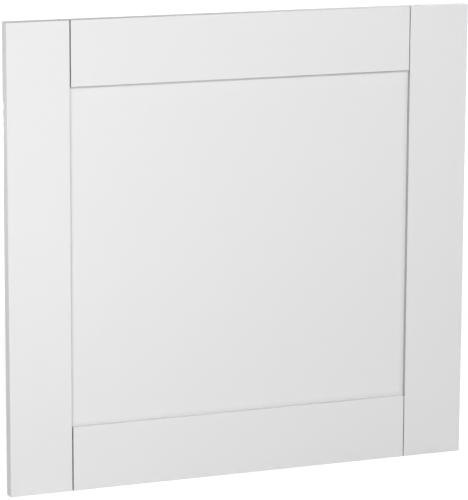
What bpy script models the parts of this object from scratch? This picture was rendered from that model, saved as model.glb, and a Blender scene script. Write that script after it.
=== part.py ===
"""Five-piece cabinet front for a 600 mm wide unit.

Two full-height stiles and two rails make a square frame. The rails' tongues sit in
the stiles' groove, two fluted dowels cross each corner joint, and a thin centre
panel is held all round in the same groove. On the front face a narrow shadow line
is left between each rail's cut end and the stile.

Metres, +Z up. The front faces -Y and the origin is the middle of the frame's foot.
"""
import math

import bmesh
import bpy
from mathutils import Vector

# Overall size
overall_width = 0.597
overall_height = 0.570
frame_thickness = 0.016

# Frame members, seen from the front
stile_width = 0.078
rail_width = 0.079

# Rounded edges of the frame members
front_edge_radius = 0.0007
back_edge_radius = 0.0005
edge_segments = 4

# Centre panel, and the groove round the inside of the frame that holds it
panel_thickness = 0.006
front_recess = 0.005
groove_depth = 0.011
panel_edge_room = 0.0015
panel_front_room = 0.0005

# Corner joints
joint_line_width = 0.0014
joint_line_depth = 0.0035
tongue_end_room = 0.001
dowel_diameter = 0.008
dowel_length = 0.040
dowel_spacing = 0.032
dowel_end_room = 0.001
dowel_end_chamfer = 0.001
flute_count = 16
flute_depth = 0.0003

# Gap between faces that are fitted or glued together
fit_gap = 0.0003

# How far a cutter runs on past the wood that it cuts
cutter_overrun = 0.004
hole_facets = 32

# Finishes, as linear colour and roughness
white_finish = ((0.83, 0.83, 0.825), 0.55)
beech_wood = ((0.60, 0.42, 0.25), 0.75)

# Places that follow from the sizes
side_x = overall_width / 2
front_y = -frame_thickness / 2
back_y = frame_thickness / 2
shoulder_x = side_x - stile_width
panel_y = front_y + front_recess + panel_thickness / 2
groove_width = panel_front_room + panel_thickness + fit_gap
groove_y = front_y + front_recess - panel_front_room + groove_width / 2
tongue_thickness = groove_width - 2 * fit_gap
groove_floor_x = shoulder_x + groove_depth
tongue_height = rail_width - groove_depth


def remove_default_scene():
    """Remove the objects of the scene that the file opens with."""
    for thing in list(bpy.data.objects):
        bpy.data.objects.remove(thing, do_unlink=True)


def new_collection(name):
    """Make a collection and link it to the scene."""
    collection = bpy.data.collections.new(name)
    bpy.context.scene.collection.children.link(collection)
    return collection


def put_in(thing, collection):
    """Move an object out of every other collection and into this one."""
    for other in list(thing.users_collection):
        other.objects.unlink(thing)
    collection.objects.link(thing)


def give_finish(thing, finish):
    """Give an object a material of its own, from a colour and a roughness."""
    colour, roughness = finish
    material = bpy.data.materials.new(thing.name + "_finish")
    material.use_nodes = True
    shader = material.node_tree.nodes["Principled BSDF"]
    shader.inputs["Base Color"].default_value = (*colour, 1.0)
    shader.inputs["Roughness"].default_value = roughness
    shader.inputs["Metallic"].default_value = 0.0
    thing.data = thing.data.copy() if thing.data.users > 1 else thing.data
    thing.data.materials.clear()
    thing.data.materials.append(material)


def box(name, low, high, collection):
    """Make a plain box between two corners, with its origin at its centre."""
    low = Vector(low)
    high = Vector(high)
    bpy.ops.mesh.primitive_cube_add(size=1.0, location=(low + high) / 2)
    thing = bpy.context.object
    thing.name = name
    thing.scale = high - low
    bpy.ops.object.transform_apply(location=False, rotation=False, scale=True)
    put_in(thing, collection)
    return thing


def round_edges(board, cut_ends):
    """Round the edges of a board's front and back faces; cut ends stay square."""
    largest = max(front_edge_radius, back_edge_radius)
    mesh = board.data
    weights = mesh.attributes.new("bevel_weight_edge", "FLOAT", "EDGE")
    for edge in mesh.edges:
        first, second = (mesh.vertices[index].co for index in edge.vertices)
        across_a_cut_end = cut_ends and first.x * second.x > 0
        if first.y * second.y < 0 or across_a_cut_end:
            continue
        radius = front_edge_radius if first.y < 0 else back_edge_radius
        weights.data[edge.index].value = radius / largest
    bevel = board.modifiers.new("rounded_edges", "BEVEL")
    bevel.limit_method = "WEIGHT"
    bevel.offset_type = "OFFSET"
    bevel.width = largest
    bevel.segments = edge_segments


def combine(thing, other, operation):
    """Cut another solid from this one, or join it on, and keep the other as a guide."""
    boolean = thing.modifiers.new(other.name, "BOOLEAN")
    boolean.operation = operation
    boolean.object = other
    other.hide_render = True
    other.display_type = "WIRE"
    put_in(other, cutters)


def smooth_round_faces(thing):
    """Shade the rounded edges smooth and leave the flat faces crisp."""
    thing.data.shade_smooth()
    thing.data.set_sharp_from_angle(angle=math.radians(35))


def groove_cutter(name, low, high):
    """Make the cutter of a panel groove; low and high leave out the groove's thickness."""
    low_y = groove_y - groove_width / 2
    high_y = groove_y + groove_width / 2
    return box(name, (low[0], low_y, low[1]), (high[0], high_y, high[1]), cutters)


def make_stile(name, side):
    """Make the left (side -1) or right (side +1) stile, grooved down its inner edge."""
    edges_x = sorted((side * side_x, side * shoulder_x))
    low = (edges_x[0], front_y, 0)
    high = (edges_x[1], back_y, overall_height)
    stile = box(name, low, high, front)
    round_edges(stile, cut_ends=False)
    groove_x = sorted((side * groove_floor_x, side * (shoulder_x - cutter_overrun)))
    groove = groove_cutter(
        name + "_groove",
        (groove_x[0], -cutter_overrun),
        (groove_x[1], overall_height + cutter_overrun),
    )
    combine(stile, groove, "DIFFERENCE")
    smooth_round_faces(stile)
    give_finish(stile, white_finish)
    return stile


def make_rail(name, edge_z, inward):
    """Make a rail from its outer edge inwards (+1 up, -1 down), with a tongue at each end."""
    inner_z = edge_z + inward * rail_width
    edges_z = sorted((edge_z, inner_z))
    rail = box(
        name,
        (fit_gap - shoulder_x, front_y, edges_z[0]),
        (shoulder_x - fit_gap, back_y, edges_z[1]),
        front,
    )
    round_edges(rail, cut_ends=True)

    for side in (-1, 1):
        line_x = sorted((side * (shoulder_x - joint_line_width), side * side_x))
        line = box(
            name + ("_left_line" if side < 0 else "_right_line"),
            (line_x[0], front_y - cutter_overrun, edges_z[0] - cutter_overrun),
            (line_x[1], front_y + joint_line_depth, edges_z[1] + cutter_overrun),
            cutters,
        )
        combine(rail, line, "DIFFERENCE")

    tongue_x = groove_floor_x - tongue_end_room
    tongue_edges_z = sorted((edge_z, edge_z + inward * tongue_height))
    tongue = box(
        name + "_tongue",
        (-tongue_x, groove_y - tongue_thickness / 2, tongue_edges_z[0]),
        (tongue_x, groove_y + tongue_thickness / 2, tongue_edges_z[1]),
        cutters,
    )
    combine(rail, tongue, "UNION")

    groove_x = tongue_x + cutter_overrun
    groove_z = sorted((edge_z + inward * tongue_height, inner_z + inward * cutter_overrun))
    groove = groove_cutter(name + "_groove", (-groove_x, groove_z[0]), (groove_x, groove_z[1]))
    combine(rail, groove, "DIFFERENCE")
    smooth_round_faces(rail)
    give_finish(rail, white_finish)
    return rail


def make_panel(name):
    """Make the centre panel, short of the groove's floor all round."""
    reach = groove_depth - panel_edge_room
    edge_x = shoulder_x + reach
    edge_z = rail_width - reach
    panel = box(
        name,
        (-edge_x, panel_y - panel_thickness / 2, edge_z),
        (edge_x, panel_y + panel_thickness / 2, overall_height - edge_z),
        front,
    )
    give_finish(panel, white_finish)
    return panel


def dowel_mesh():
    """Model one dowel along Z: a fluted rod whose ends are chamfered."""
    radius = dowel_diameter / 2
    rod = bmesh.new()
    bmesh.ops.create_cone(
        rod,
        cap_ends=True,
        segments=2 * flute_count,
        radius1=radius,
        radius2=radius,
        depth=dowel_length - 2 * dowel_end_chamfer,
    )
    step = math.pi / flute_count
    for vertex in rod.verts:
        place = round(math.atan2(vertex.co.y, vertex.co.x) / step)
        if place % 2:
            vertex.co.xy *= (radius - flute_depth) / radius
    ends = [face for face in rod.faces if abs(face.normal.z) > 0.9]
    for end in ends:
        lift = Vector((0, 0, math.copysign(dowel_end_chamfer, end.normal.z)))
        raised = bmesh.ops.extrude_discrete_faces(rod, faces=[end])["faces"][0]
        for vertex in raised.verts:
            vertex.co.xy *= (radius - dowel_end_chamfer) / radius
            vertex.co += lift
    mesh = bpy.data.meshes.new("dowel")
    rod.to_mesh(mesh)
    rod.free()
    mesh.shade_smooth()
    mesh.set_sharp_from_angle(angle=math.radians(35))
    return mesh


def drill_and_dowel(name, mesh, place, stile, rail):
    """Put one dowel across a corner joint and drill its hole through both boards."""
    dowel = bpy.data.objects.new(name, mesh)
    front.objects.link(dowel)
    dowel.location = place
    dowel.rotation_euler = (0, math.pi / 2, 0)
    give_finish(dowel, beech_wood)
    for board in (stile, rail):
        bpy.ops.mesh.primitive_cylinder_add(
            vertices=hole_facets,
            radius=dowel_diameter / 2 + fit_gap,
            depth=dowel_length + 2 * dowel_end_room,
            location=place,
            rotation=(0, math.pi / 2, 0),
        )
        drill = bpy.context.object
        drill.name = name + "_hole_in_" + board.name
        smooth_round_faces(drill)
        combine(board, drill, "DIFFERENCE")


remove_default_scene()
front = new_collection("cabinet_front")
cutters = new_collection("cutters")

stiles = {"left": make_stile("left_stile", -1), "right": make_stile("right_stile", 1)}
rails = {
    "top": make_rail("top_rail", overall_height, -1),
    "bottom": make_rail("bottom_rail", 0, 1),
}
make_panel("centre_panel")

dowel_shape = dowel_mesh()
for level, rail_edge_z, inward in (("top", overall_height, -1), ("bottom", 0, 1)):
    for hand, side in (("left", -1), ("right", 1)):
        for row, shift in (("outer", -dowel_spacing / 2), ("inner", dowel_spacing / 2)):
            dowel_z = rail_edge_z + inward * (tongue_height / 2 + shift)
            drill_and_dowel(
                "dowel_" + level + "_" + hand + "_" + row,
                dowel_shape,
                (side * shoulder_x, groove_y, dowel_z),
                stiles[hand],
                rails[level],
            )
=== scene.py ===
import math

import bmesh
import bpy
from mathutils import Matrix, Vector


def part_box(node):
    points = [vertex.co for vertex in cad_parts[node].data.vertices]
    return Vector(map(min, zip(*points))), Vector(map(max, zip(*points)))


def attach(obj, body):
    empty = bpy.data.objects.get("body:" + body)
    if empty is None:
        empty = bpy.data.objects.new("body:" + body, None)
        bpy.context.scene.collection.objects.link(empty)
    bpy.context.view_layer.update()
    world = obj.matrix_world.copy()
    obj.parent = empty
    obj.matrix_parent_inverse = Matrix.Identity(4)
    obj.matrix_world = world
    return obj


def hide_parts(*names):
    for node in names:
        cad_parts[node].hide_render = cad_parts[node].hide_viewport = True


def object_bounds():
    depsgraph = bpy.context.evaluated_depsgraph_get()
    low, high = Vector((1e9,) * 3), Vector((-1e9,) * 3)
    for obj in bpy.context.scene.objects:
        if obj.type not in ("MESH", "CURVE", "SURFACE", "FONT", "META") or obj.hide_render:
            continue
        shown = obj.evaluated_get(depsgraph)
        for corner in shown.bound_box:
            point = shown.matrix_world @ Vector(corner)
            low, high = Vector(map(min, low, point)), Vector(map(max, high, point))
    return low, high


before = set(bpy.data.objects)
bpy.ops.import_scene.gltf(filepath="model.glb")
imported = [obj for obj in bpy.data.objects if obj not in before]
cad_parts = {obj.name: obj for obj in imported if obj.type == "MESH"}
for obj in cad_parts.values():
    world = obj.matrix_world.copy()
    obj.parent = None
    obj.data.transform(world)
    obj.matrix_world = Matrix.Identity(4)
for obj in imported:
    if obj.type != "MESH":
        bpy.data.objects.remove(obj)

cad_low, cad_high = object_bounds()


# Stiles
# The two uprights run the full height of the front. Each is a length of fibreboard with small
# rounded edges and a groove down its inner edge, primed grey and then sprayed satin white
# before the frame is glued up. The spray misses the groove, which stays grey.
front_edge_radius = 0.0007
back_edge_radius = 0.0005
edge_segments = 6
sharp_from = math.radians(30)
fit_gap = 0.0003
groove_depth = 0.011
panel_front_room = 0.0005
dowel_radius = 0.004
dowel_end_room = 0.001
hole_facets = 48
past_the_board = 0.004
nearly_nothing = 1e-6

panel_low, panel_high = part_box("centre_panel")
shoulder_x = -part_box("left_stile")[1].x
opening_low_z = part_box("bottom_rail")[1].z
opening_high_z = cad_high.z - opening_low_z
groove_front_y = panel_low.y - panel_front_room
groove_back_y = panel_high.y + fit_gap

satin_white = (0.83, 0.83, 0.83)
satin_roughness = (0.40, 0.46)
dimples_per_metre = 300
dimple_height = 0.000008
patches_per_metre = 12
patch_contrast = 0.012
# Painted shade: the stiles' inner edges are darker in colour, within this band of the recess
# outline.
stile_painted_edge_shade = 0.42
painted_edge_shade_start = 0.0001
painted_edge_shade_end = 0.0007
# Cut and grooved faces are grey; in each joint line's slot this grey is also painted shade.
primer_and_painted_shade_greys = ((0.35, 0.35, 0.35), (0.45, 0.45, 0.45))
fibre_brown = ((0.36, 0.25, 0.15), (0.52, 0.38, 0.24))
cut_roughness = 0.9
fibres_per_metre = 900
fibre_height = 0.00005
tuft_edges = (0.3, 0.7)


def add_input(group, name, value):
    """Give a node group a number input with a starting value."""
    socket = group.interface.new_socket(name, in_out="INPUT", socket_type="NodeSocketFloat")
    socket.default_value = value


def add_output(group, name):
    """Give a node group a number output."""
    group.interface.new_socket(name, in_out="OUTPUT", socket_type="NodeSocketFloat")


def feed(tree, socket, value):
    """Set an input to a plain number, or link it to another node's output."""
    if isinstance(value, (int, float)):
        socket.default_value = value
    else:
        tree.links.new(value, socket)


def add_math(tree, operation, first, second=0.0):
    """Add a Math node whose two inputs are outputs or plain numbers, and return its output."""
    node = tree.nodes.new("ShaderNodeMath")
    node.operation = operation
    feed(tree, node.inputs[0], first)
    feed(tree, node.inputs[1], second)
    return node.outputs["Value"]


def add_ramp(tree, value, start, end, low=0.0, high=1.0):
    """Add a smooth ramp from low at start to high at end, and return its output."""
    node = tree.nodes.new("ShaderNodeMapRange")
    node.interpolation_type = "SMOOTHSTEP"
    feed(tree, node.inputs["Value"], value)
    feed(tree, node.inputs["From Min"], start)
    feed(tree, node.inputs["From Max"], end)
    feed(tree, node.inputs["To Min"], low)
    feed(tree, node.inputs["To Max"], high)
    return node.outputs["Result"]


def add_noise(tree, scale, detail):
    """Add noise that is fixed to the board, and return its value from 0 to 1."""
    noise = tree.nodes.new("ShaderNodeTexNoise")
    noise.inputs["Detail"].default_value = detail
    feed(tree, noise.inputs["Scale"], scale)
    feed(tree, noise.inputs["Vector"], tree.nodes.new("ShaderNodeTexCoord").outputs["Object"])
    return noise.outputs["Fac"]


def add_group(tree, group, **values):
    """Add a node group, set its inputs by name, and return its outputs."""
    node = tree.nodes.new("ShaderNodeGroup")
    node.node_tree = group
    for name, value in values.items():
        node.inputs[name].default_value = value
    return node.outputs


def add_bump(tree, height, depth):
    """Let a height from 0 to 1 stand out of the surface by a depth in metres."""
    bump = tree.nodes.new("ShaderNodeBump")
    bump.inputs["Strength"].default_value = 1.0
    bump.inputs["Distance"].default_value = depth
    feed(tree, bump.inputs["Height"], height)
    feed(tree, tree.nodes["Principled BSDF"].inputs["Normal"], bump.outputs["Normal"])


def start_material(name):
    """Make a material with its Principled shader, and return it with its nodes."""
    material = bpy.data.materials.new(name)
    material.use_nodes = True
    return material, material.node_tree


def make_outline_distance():
    """Distance from the recess outline, in metres: above 0 on the frame, below 0 on the panel."""
    group = bpy.data.node_groups.new("recess_outline_distance", "ShaderNodeTree")
    add_input(group, "half_width", shoulder_x)
    add_input(group, "low", opening_low_z)
    add_input(group, "high", opening_high_z)
    add_output(group, "distance")
    sizes = group.nodes.new("NodeGroupInput").outputs
    place = group.nodes.new("ShaderNodeSeparateXYZ")
    feed(group, place.inputs[0], group.nodes.new("ShaderNodeTexCoord").outputs["Object"])
    across = add_math(group, "ABSOLUTE", place.outputs["X"])
    beside = add_math(group, "SUBTRACT", across, sizes["half_width"])
    above = add_math(group, "SUBTRACT", place.outputs["Z"], sizes["high"])
    below = add_math(group, "SUBTRACT", sizes["low"], place.outputs["Z"])
    distance = add_math(group, "MAXIMUM", beside, add_math(group, "MAXIMUM", above, below))
    feed(group, group.nodes.new("NodeGroupOutput").inputs["distance"], distance)
    return group


def make_sprayed_skin():
    """A sprayed coat: the height of its fine dimples, and cloudy patches from 0 to 1."""
    group = bpy.data.node_groups.new("sprayed_skin", "ShaderNodeTree")
    add_input(group, "dimples_per_metre", dimples_per_metre)
    add_input(group, "patches_per_metre", patches_per_metre)
    add_output(group, "dimples")
    add_output(group, "patches")
    sizes = group.nodes.new("NodeGroupInput").outputs
    results = group.nodes.new("NodeGroupOutput").inputs
    feed(group, results["dimples"], add_noise(group, sizes["dimples_per_metre"], detail=2))
    feed(group, results["patches"], add_noise(group, sizes["patches_per_metre"], detail=4))
    return group


def make_cut_fibres():
    """Fibreboard that a tool has cut: how light each tuft of fibres is, from 0 to 1."""
    group = bpy.data.node_groups.new("cut_fibres", "ShaderNodeTree")
    add_input(group, "fibres_per_metre", fibres_per_metre)
    add_output(group, "tufts")
    count = group.nodes.new("NodeGroupInput").outputs["fibres_per_metre"]
    noise = add_noise(group, count, detail=6)
    tufts = add_ramp(group, noise, tuft_edges[0], tuft_edges[1])
    feed(group, group.nodes.new("NodeGroupOutput").inputs["tufts"], tufts)
    return group


outline_distance = make_outline_distance()
sprayed_skin = make_sprayed_skin()
cut_fibres = make_cut_fibres()


def make_satin_white_with_painted_shade(name, painted_edge_shade=0.0, painted_border_shade=0.0, border_reach=0.002):
    """Sprayed satin white with painted shade. It is darker by painted_edge_shade on the frame's
    inner edges and by painted_border_shade on the panel beside them, over border_reach metres,
    where shade falls."""
    material, tree = start_material(name)
    distance = add_group(
        tree, outline_distance, half_width=shoulder_x, low=opening_low_z, high=opening_high_z
    )["distance"]
    skin = add_group(
        tree, sprayed_skin, dimples_per_metre=dimples_per_metre, patches_per_metre=patches_per_metre
    )
    # Painted shade darkens the frame's inner edges and the panel beside them; patches are random
    # tone.
    at_edge = add_ramp(tree, distance, painted_edge_shade_start, painted_edge_shade_end, painted_edge_shade, 0.0)
    at_border = add_ramp(tree, distance, -border_reach, 0.0, 0.0, painted_border_shade)
    in_patch = add_math(tree, "MULTIPLY", skin["patches"], patch_contrast)
    painted_shade_and_patches = add_math(tree, "ADD", add_math(tree, "ADD", at_edge, at_border), in_patch)
    colour = tree.nodes.new("ShaderNodeVectorMath")
    colour.operation = "SCALE"
    colour.inputs["Vector"].default_value = satin_white
    feed(tree, colour.inputs["Scale"], add_math(tree, "SUBTRACT", 1 + patch_contrast / 2, painted_shade_and_patches))
    shader = tree.nodes["Principled BSDF"]
    feed(tree, shader.inputs["Base Color"], colour.outputs["Vector"])
    roughness = add_ramp(tree, skin["patches"], 0.0, 1.0, satin_roughness[0], satin_roughness[1])
    feed(tree, shader.inputs["Roughness"], roughness)
    add_bump(tree, skin["dimples"], dimple_height)
    return material


def make_cut_face(name, colours):
    """A dull, furry cut face, mottled between a dark and a light colour."""
    material, tree = start_material(name)
    tufts = add_group(tree, cut_fibres, fibres_per_metre=fibres_per_metre)["tufts"]
    mottle = tree.nodes.new("ShaderNodeValToRGB")
    mottle.color_ramp.elements[0].color = (*colours[0], 1)
    mottle.color_ramp.elements[1].color = (*colours[1], 1)
    feed(tree, mottle.inputs["Fac"], tufts)
    shader = tree.nodes["Principled BSDF"]
    feed(tree, shader.inputs["Base Color"], mottle.outputs["Color"])
    shader.inputs["Roughness"].default_value = cut_roughness
    add_bump(tree, tufts, fibre_height)
    return material


stile_white = make_satin_white_with_painted_shade("stile_satin_white", painted_edge_shade=stile_painted_edge_shade)
grey_primer_and_painted_shade = make_cut_face("grey_primer_and_painted_shade", primer_and_painted_shade_greys)
bare_fibreboard = make_cut_face("bare_fibreboard", fibre_brown)


def select_only(thing):
    """Select one object and nothing else, and make it the active one."""
    bpy.ops.object.select_all(action="DESELECT")
    thing.select_set(True)
    bpy.context.view_layer.objects.active = thing


def open_box(name, low, high, material):
    """Add a box between two corners, with its place in its mesh, and open it for editing."""
    low = Vector(low)
    high = Vector(high)
    bpy.ops.object.select_all(action="DESELECT")
    bpy.ops.mesh.primitive_cube_add(size=1.0, location=(low + high) / 2, scale=high - low)
    bpy.ops.object.transform_apply(location=True, rotation=True, scale=True)
    box = bpy.context.object
    box.name = name
    box.data.name = name
    box.data.materials.append(material)
    bpy.ops.object.mode_set(mode="EDIT")
    bpy.ops.mesh.select_all(action="DESELECT")
    return box


def select_edges(board, wanted):
    """Select the edges of the open mesh whose two ends satisfy wanted."""
    bpy.ops.mesh.select_mode(type="EDGE")
    mesh = bmesh.from_edit_mesh(board.data)
    for edge in mesh.edges:
        edge.select_set(wanted(edge.verts[0].co, edge.verts[1].co))
    bmesh.update_edit_mesh(board.data)


def round_board(board, keeps_cut_ends):
    """Round the edges of the open board's front and back faces, and close it."""
    for face_y, radius in ((cad_low.y, front_edge_radius), (cad_high.y, back_edge_radius)):

        def on_this_face(first, second):
            lies_on_it = abs(first.y - face_y) + abs(second.y - face_y) < nearly_nothing
            is_a_cut_end = keeps_cut_ends and abs(first.x - second.x) < nearly_nothing
            return lies_on_it and not is_a_cut_end

        select_edges(board, on_this_face)
        bpy.ops.mesh.bevel(offset=radius, segments=edge_segments, affect="EDGES")
    bpy.ops.object.mode_set(mode="OBJECT")


def combine(board, other, operation):
    """Cut another solid from the board, or join it on, and take the other away."""
    bpy.ops.object.mode_set(mode="OBJECT")
    select_only(board)
    change = board.modifiers.new("change", "BOOLEAN")
    change.operation = operation
    change.object = other
    change.solver = "EXACT"
    change.material_mode = "TRANSFER"
    bpy.ops.object.modifier_apply(modifier=change.name)
    bpy.data.objects.remove(other, do_unlink=True)


def bore_for_dowels(board, level, hand):
    """Bore the two holes of one corner joint, a little wider and longer than the dowels."""
    for row in ("outer", "inner"):
        low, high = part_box("dowel_" + level + "_" + hand + "_" + row)
        bpy.ops.object.select_all(action="DESELECT")
        bpy.ops.mesh.primitive_cylinder_add(
            vertices=hole_facets,
            radius=dowel_radius + fit_gap,
            depth=high.x - low.x + 2 * dowel_end_room,
            location=(low + high) / 2,
            rotation=(0, math.pi / 2, 0),
        )
        drill = bpy.context.object
        drill.data.materials.append(bare_fibreboard)
        combine(board, drill, "DIFFERENCE")


def hand_over_board(board, node):
    """Shade the rounded edges smooth beside flat faces, and put the board on its node."""
    select_only(board)
    bpy.ops.object.mode_set(mode="EDIT")
    bpy.ops.mesh.select_all(action="SELECT")
    bpy.ops.mesh.remove_doubles(threshold=nearly_nothing)
    bpy.ops.mesh.normals_make_consistent(inside=False)
    bpy.ops.object.mode_set(mode="OBJECT")
    bpy.ops.object.shade_smooth_by_angle(angle=sharp_from)
    weights = board.modifiers.new("flat_faces_stay_flat", "WEIGHTED_NORMAL")
    weights.keep_sharp = True
    bpy.ops.object.modifier_apply(modifier=weights.name)
    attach(board, "root")
    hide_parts(node)


for hand, side in (("left", -1), ("right", 1)):
    low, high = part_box(hand + "_stile")
    stile = open_box(hand + "_stile_board", low, high, stile_white)
    round_board(stile, keeps_cut_ends=False)
    groove_floor_x = side * (shoulder_x + groove_depth)
    groove_x = sorted((groove_floor_x, side * (shoulder_x - past_the_board)))
    groove = open_box(
        "groove",
        (groove_x[0], groove_front_y, low.z - past_the_board),
        (groove_x[1], groove_back_y, high.z + past_the_board),
        grey_primer_and_painted_shade,
    )
    combine(stile, groove, "DIFFERENCE")
    bore_for_dowels(stile, "top", hand)
    bore_for_dowels(stile, "bottom", hand)
    hand_over_board(stile, hand + "_stile")


# Rails
# The two cross boards have a tongue at each end, glued into the stiles' groove, and the same
# groove for the panel. Beside the stile their front is cut back by a narrow shadow line whose
# grey faces are painted shade, deepening the gap's own shade into a thin dark stroke.
joint_line_width = 0.0014
joint_line_depth = 0.0035
tongue_front_y = groove_front_y + fit_gap
tongue_back_y = groove_back_y - fit_gap
square_on = 0.9

# The rails' inner edges are darker in colour, painted shade: most on the top rail's lower edge,
# which faces down, and hardly any on the bottom rail's upper edge, which faces up.
facing_down_painted_shade = 0.45
facing_up_painted_shade = 0.03


def paint_faces(board, material, wanted):
    """Give the open mesh a second finish, on the faces whose normal satisfies wanted."""
    board.data.materials.append(material)
    mesh = bmesh.from_edit_mesh(board.data)
    for face in mesh.faces:
        face.material_index = 1 if wanted(face.normal) else 0
    bmesh.update_edit_mesh(board.data)


for level, inward, painted_edge_shade in (("top", -1, facing_down_painted_shade), ("bottom", 1, facing_up_painted_shade)):
    rail_white = make_satin_white_with_painted_shade(level + "_rail_satin_white", painted_edge_shade=painted_edge_shade)
    low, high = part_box(level + "_rail")
    tongue_x = high.x
    edge_z = high.z if inward < 0 else low.z
    inner_z = low.z if inward < 0 else high.z
    groove_floor_z = inner_z - inward * groove_depth
    rail = open_box(
        level + "_rail_board",
        (fit_gap - shoulder_x, low.y, low.z),
        (shoulder_x - fit_gap, high.y, high.z),
        rail_white,
    )
    paint_faces(rail, grey_primer_and_painted_shade, lambda normal: abs(normal.x) > square_on)
    round_board(rail, keeps_cut_ends=True)
    # The slot's faces take the grey: painted shade on top of the real shade of the gap.
    for side in (-1, 1):
        line_ends_x = (side * (shoulder_x - joint_line_width), side * (tongue_x + past_the_board))
        line = open_box(
            "joint_line",
            (min(line_ends_x), low.y - past_the_board, low.z - past_the_board),
            (max(line_ends_x), low.y + joint_line_depth, high.z + past_the_board),
            grey_primer_and_painted_shade,
        )
        combine(rail, line, "DIFFERENCE")
        tongue_ends_x = (side * (shoulder_x - 2 * fit_gap), side * tongue_x)
        tongue = open_box(
            "tongue",
            (min(tongue_ends_x), tongue_front_y, min(edge_z, groove_floor_z)),
            (max(tongue_ends_x), tongue_back_y, max(edge_z, groove_floor_z)),
            grey_primer_and_painted_shade,
        )
        paint_faces(tongue, rail_white, lambda normal: -normal.z * inward > square_on)
        combine(rail, tongue, "UNION")
    groove_z = sorted((groove_floor_z, inner_z + inward * past_the_board))
    groove = open_box(
        "groove",
        (-tongue_x - past_the_board, groove_front_y, groove_z[0]),
        (tongue_x + past_the_board, groove_back_y, groove_z[1]),
        grey_primer_and_painted_shade,
    )
    combine(rail, groove, "DIFFERENCE")
    bore_for_dowels(rail, level, "left")
    bore_for_dowels(rail, level, "right")
    hand_over_board(rail, level + "_rail")


# Centre panel
# The thin panel is sawn from sprayed fibreboard, so its four edges are bare, and sandpaper has
# eased their corners. It sits loose in the groove all round, held by nothing but the frame.
panel_edge_easing = 0.0003
# Painted shade: the panel is darker in colour beside the frame, fading out over the reach.
panel_painted_border_shade = 0.09
panel_border_reach = 0.007

panel_white = make_satin_white_with_painted_shade(
    "panel_satin_white", painted_border_shade=panel_painted_border_shade, border_reach=panel_border_reach
)
panel = open_box("centre_panel_board", panel_low, panel_high, panel_white)
paint_faces(panel, bare_fibreboard, lambda normal: abs(normal.y) < square_on)
bpy.ops.mesh.select_all(action="SELECT")
bpy.ops.mesh.bevel(offset=panel_edge_easing, segments=edge_segments, affect="EDGES")
bpy.ops.object.mode_set(mode="OBJECT")
hand_over_board(panel, "centre_panel")


# Dowels
# Eight turned beech pins, two across each corner joint. Each has sixteen flutes that let the
# glue rise round it, and a small chamfer at each end to start it in its hole.
flute_count = 16
flute_depth = 0.0003
steps_per_flute = 4
dowel_chamfer = 0.001
beech_dark = (0.50, 0.33, 0.18)
beech_light = (0.68, 0.50, 0.31)
beech_roughness = 0.72
streak_edges = (0.32, 0.62)
streaks_along = 60
streaks_across = 1400
pore_depth = 0.00002


def make_turned_beech():
    """Dry beech with soft streaks and fine pores that run along the pin."""
    material, tree = start_material("turned_beech")
    stretch = tree.nodes.new("ShaderNodeMapping")
    stretch.inputs["Scale"].default_value = (streaks_along, streaks_across, streaks_across)
    place = tree.nodes.new("ShaderNodeTexCoord").outputs["Object"]
    feed(tree, stretch.inputs["Vector"], place)
    grain = tree.nodes.new("ShaderNodeTexNoise")
    grain.inputs["Scale"].default_value = 1.0
    grain.inputs["Detail"].default_value = 5
    feed(tree, grain.inputs["Vector"], stretch.outputs["Vector"])
    streaks = tree.nodes.new("ShaderNodeValToRGB")
    streaks.color_ramp.elements[0].position = streak_edges[0]
    streaks.color_ramp.elements[0].color = (*beech_dark, 1)
    streaks.color_ramp.elements[1].position = streak_edges[1]
    streaks.color_ramp.elements[1].color = (*beech_light, 1)
    feed(tree, streaks.inputs["Fac"], grain.outputs["Fac"])
    shader = tree.nodes["Principled BSDF"]
    feed(tree, shader.inputs["Base Color"], streaks.outputs["Color"])
    shader.inputs["Roughness"].default_value = beech_roughness
    add_bump(tree, grain.outputs["Fac"], pore_depth)
    return material


turned_beech = make_turned_beech()


def turn_dowel(name, low, high):
    """Turn one pin between two corners, along X: a rod, fluted, then chamfered at its ends."""
    bpy.ops.object.select_all(action="DESELECT")
    bpy.ops.mesh.primitive_cylinder_add(
        vertices=flute_count * steps_per_flute,
        radius=dowel_radius,
        depth=high.x - low.x,
        rotation=(0, math.pi / 2, 0),
    )
    bpy.ops.object.transform_apply(location=True, rotation=True, scale=True)
    dowel = bpy.context.object
    dowel.name = name
    dowel.data.name = name
    dowel.data.materials.append(turned_beech)
    bpy.ops.object.mode_set(mode="EDIT")
    bpy.ops.mesh.select_mode(type="VERT")
    mesh = bmesh.from_edit_mesh(dowel.data)
    step = 2 * math.pi / (flute_count * steps_per_flute)
    for vertex in mesh.verts:
        place = round(math.atan2(vertex.co.z, vertex.co.y) / step) % steps_per_flute
        vertex.select_set(place == steps_per_flute // 2)
    bmesh.update_edit_mesh(dowel.data)
    narrowed = (dowel_radius - flute_depth) / dowel_radius
    bpy.ops.transform.resize(value=(1, narrowed, narrowed), center_override=(0, 0, 0))
    select_edges(dowel, lambda first, second: abs(first.x - second.x) < nearly_nothing)
    bpy.ops.mesh.bevel(offset=dowel_chamfer, segments=1, affect="EDGES")
    bpy.ops.object.mode_set(mode="OBJECT")
    bpy.ops.object.shade_smooth_by_angle(angle=sharp_from)
    dowel.data.transform(Matrix.Translation((low + high) / 2))
    return dowel


for level in ("top", "bottom"):
    for hand in ("left", "right"):
        for row in ("outer", "inner"):
            node = "dowel_" + level + "_" + hand + "_" + row
            low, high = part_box(node)
            dowel = turn_dowel("beech_" + node, low, high)
            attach(dowel, "root")
            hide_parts(node)


# Floor
# A wide pale board that the front stands on. Where it is looked at, straight or in a gloss, it
# glows white, and less close by, so that the object's shadow shows there. Matt surfaces get no
# light from the glow.
floor_size = 12
floor_colour = (0.6, 0.6, 0.6)
floor_roughness = 0.9
close_by = 0.7
far_off = 2.2
glow_close_by = 0.7
glow_far_off = 1.0


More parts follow.
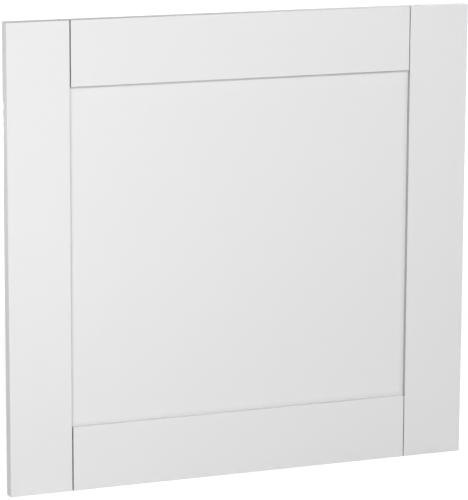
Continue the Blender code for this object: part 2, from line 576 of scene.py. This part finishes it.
def where_looked_at(tree):
    """1 for a ray that looks at the surface, straight, in a gloss or through glass, else 0."""
    ray = tree.nodes.new("ShaderNodeLightPath").outputs
    looked_at = add_math(tree, "MAXIMUM", ray["Is Camera Ray"], ray["Is Glossy Ray"])
    return add_math(tree, "MAXIMUM", looked_at, ray["Is Transmission Ray"])


def make_pale_floor():
    """A matt pale grey with a white glow that only shows when it is looked at."""
    material, tree = start_material("pale_floor")
    shader = tree.nodes["Principled BSDF"]
    shader.inputs["Base Color"].default_value = (*floor_colour, 1)
    shader.inputs["Roughness"].default_value = floor_roughness
    from_middle = tree.nodes.new("ShaderNodeVectorMath")
    from_middle.operation = "LENGTH"
    feed(tree, from_middle.inputs[0], tree.nodes.new("ShaderNodeTexCoord").outputs["Object"])
    away = from_middle.outputs["Value"]
    strength = add_ramp(tree, away, close_by, far_off, glow_close_by, glow_far_off)
    glow = tree.nodes.new("ShaderNodeEmission")
    feed(tree, glow.inputs["Strength"], add_math(tree, "MULTIPLY", where_looked_at(tree), strength))
    both = tree.nodes.new("ShaderNodeAddShader")
    feed(tree, both.inputs[0], shader.outputs["BSDF"])
    feed(tree, both.inputs[1], glow.outputs["Emission"])
    feed(tree, tree.nodes["Material Output"].inputs["Surface"], both.outputs["Shader"])
    return material


bpy.ops.object.select_all(action="DESELECT")
bpy.ops.mesh.primitive_plane_add(size=floor_size)
floor = bpy.context.object
floor.name = "floor"
floor.data.materials.append(make_pale_floor())


# Studio light
# A soft lamp stands high in front, and a near one at the left makes that side brighter. One
# behind lights the back, two small ones light the left edge and the right end of the top edge,
# and a pale sky that fades out overhead fills in all round.
sky_strength = 0.5
overhead_strength = 0.0
middle = (0, 0, 0.3)
left_end = (-0.3, 0, 0.5)
right_end = (0.3, 0, 0.57)


def hang_lamp(name, place, aim, size, power):
    """Hang a square soft lamp at a place and turn it to face a point."""
    light = bpy.data.lights.new(name, "AREA")
    light.shape = "SQUARE"
    light.size = size
    light.energy = power
    lamp = bpy.data.objects.new(name, light)
    bpy.context.scene.collection.objects.link(lamp)
    lamp.location = place
    lamp.rotation_euler = (Vector(aim) - Vector(place)).to_track_quat("-Z", "Y").to_euler()


hang_lamp("front_lamp", place=(0.4, -2.0, 1.6), aim=middle, size=0.6, power=23.9)
hang_lamp("left_lamp", place=(-0.8, -1.0, 0.35), aim=middle, size=0.4, power=4.6)
hang_lamp("back_lamp", place=(0.6, 3.2, 0.28), aim=middle, size=0.5, power=35.0)
hang_lamp("left_edge_lamp", place=(-0.75, 0.3, 0.49), aim=left_end, size=0.15, power=0.7)
hang_lamp("top_edge_lamp", place=(0.6, 0.2, 0.85), aim=right_end, size=0.2, power=2.0)

sky = bpy.data.worlds.new("pale_sky")
sky.use_nodes = True
sky_tree = sky.node_tree
fill = sky_tree.nodes["Background"]
fill.inputs["Color"].default_value = (1, 1, 1, 1)
direction = sky_tree.nodes.new("ShaderNodeSeparateXYZ")
feed(sky_tree, direction.inputs[0], sky_tree.nodes.new("ShaderNodeTexCoord").outputs["Generated"])
brightness = add_ramp(sky_tree, direction.outputs["Z"], 0.0, 1.0, sky_strength, overhead_strength)
feed(sky_tree, fill.inputs["Strength"], brightness)
backdrop = sky_tree.nodes.new("ShaderNodeBackground")
backdrop.name = "white_backdrop"
backdrop.inputs["Color"].default_value = (1, 1, 1, 1)
backdrop.inputs["Strength"].default_value = 1.0
choice = sky_tree.nodes.new("ShaderNodeMixShader")
feed(sky_tree, choice.inputs["Fac"], where_looked_at(sky_tree))
feed(sky_tree, choice.inputs[1], fill.outputs["Background"])
feed(sky_tree, choice.inputs[2], backdrop.outputs["Background"])
feed(sky_tree, sky_tree.nodes["World Output"].inputs["Surface"], choice.outputs["Shader"])
bpy.context.scene.world = sky


# Camera
# The front is seen with a long lens from three and a half metres away, from its left and a
# little above, with the camera held almost level.
azimuth = math.radians(22.058)
elevation = math.radians(11.178)
roll = math.radians(0.258)
distance = 3.47
lens = 205.73
sensor_width = 36
aim_point = Vector((-0.01195, cad_low.y, 0.28192))

towards_camera = Vector((
    -math.sin(azimuth) * math.cos(elevation),
    -math.cos(azimuth) * math.cos(elevation),
    math.sin(elevation),
))
upright = (-towards_camera).to_track_quat("-Z", "Y").to_matrix()
camera_data = bpy.data.cameras.new("camera")
camera_data.sensor_width = sensor_width
camera_data.lens = lens
camera = bpy.data.objects.new("camera", camera_data)
bpy.context.scene.collection.objects.link(camera)
camera.location = aim_point + towards_camera * distance
camera.rotation_euler = (upright @ Matrix.Rotation(roll, 3, "Z")).to_euler()
bpy.context.scene.camera = camera
bpy.context.scene.view_settings.view_transform = "Standard"
